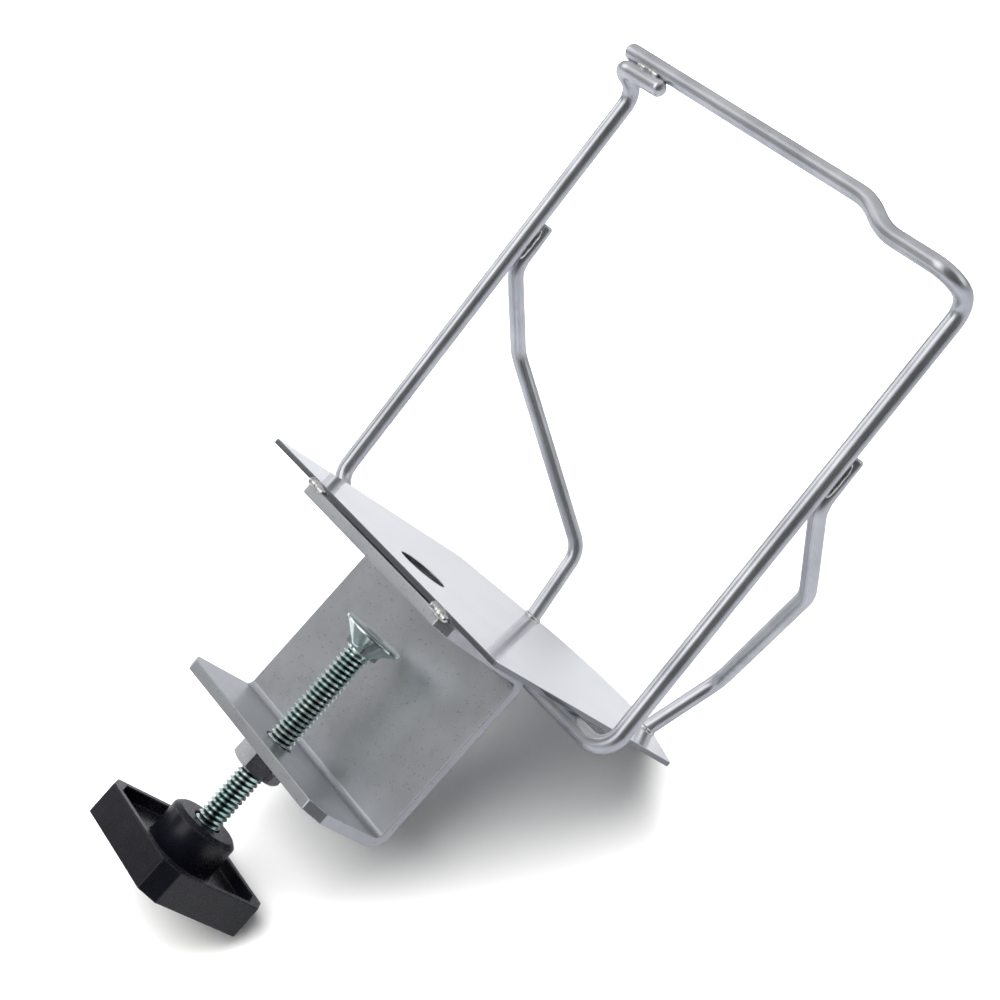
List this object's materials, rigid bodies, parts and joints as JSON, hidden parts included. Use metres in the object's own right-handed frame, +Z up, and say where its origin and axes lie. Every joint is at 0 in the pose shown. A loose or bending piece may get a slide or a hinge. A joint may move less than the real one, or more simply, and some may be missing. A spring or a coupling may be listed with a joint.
{
  "type": "hair dryer holder",
  "caption": "Table-clamp hair dryer holder: a bent wire loop with two wire struts on a flat plate, welded to a folded bracket with a hand screw clamp",
  "frame": {"origin": "On the screw axis, on the underside of the upper jaw, which rests on the table top", "axes": "X along the wire loop, +Y away from the open side of the clamp, +Z up along the clamp screw"},
  "size_m": [0.1128, 0.1098, 0.2123],
  "materials": {
    "satin_steel": "satin zinc plated sheet",
    "bright_wire": "bright plated wire",
    "zinc_screw": "clear zinc with a green tint",
    "black_plastic": "black, slightly glossy",
    "brass_insert": "plain",
    "weld_metal": "plated weld bead"
  },
  "bodies": {
    "frame": {"clamp_bracket": "satin_steel", "top_plate": "satin_steel", "wire_loop": "bright_wire", "strut_left": "bright_wire", "strut_right": "bright_wire", "clamp_nut": "satin_steel", "flange_weld_left": "weld_metal", "flange_weld_right": "weld_metal", "base_weld_left": "weld_metal", "base_weld_right": "weld_metal", "foot_weld_left": "weld_metal", "foot_weld_right": "weld_metal", "top_weld_left": "weld_metal", "top_weld_right": "weld_metal", "lap_weld": "weld_metal", "nut_weld": "weld_metal"},
    "screw": {"clamp_screw": "zinc_screw"},
    "knob_body": {"knob": "black_plastic", "knob_insert": "brass_insert"}
  },
  "joints": [
    {"name": "screw_travel", "type": "slide", "parent": "frame", "child": "screw", "axis": [0, 0, 1], "range_m": [-0.024, 0.0125]},
    {"name": "knob_turn", "type": "hinge", "parent": "screw", "child": "knob_body", "pos_m": [0, 0, -0.07], "axis": [0, 0, 1], "range_deg": [-6803.15, 3543.31]}
  ],
  "couplings": [
    {"joint": "knob_turn", "follows": "screw_travel", "rad_per_m": 4947.4}
  ]
}
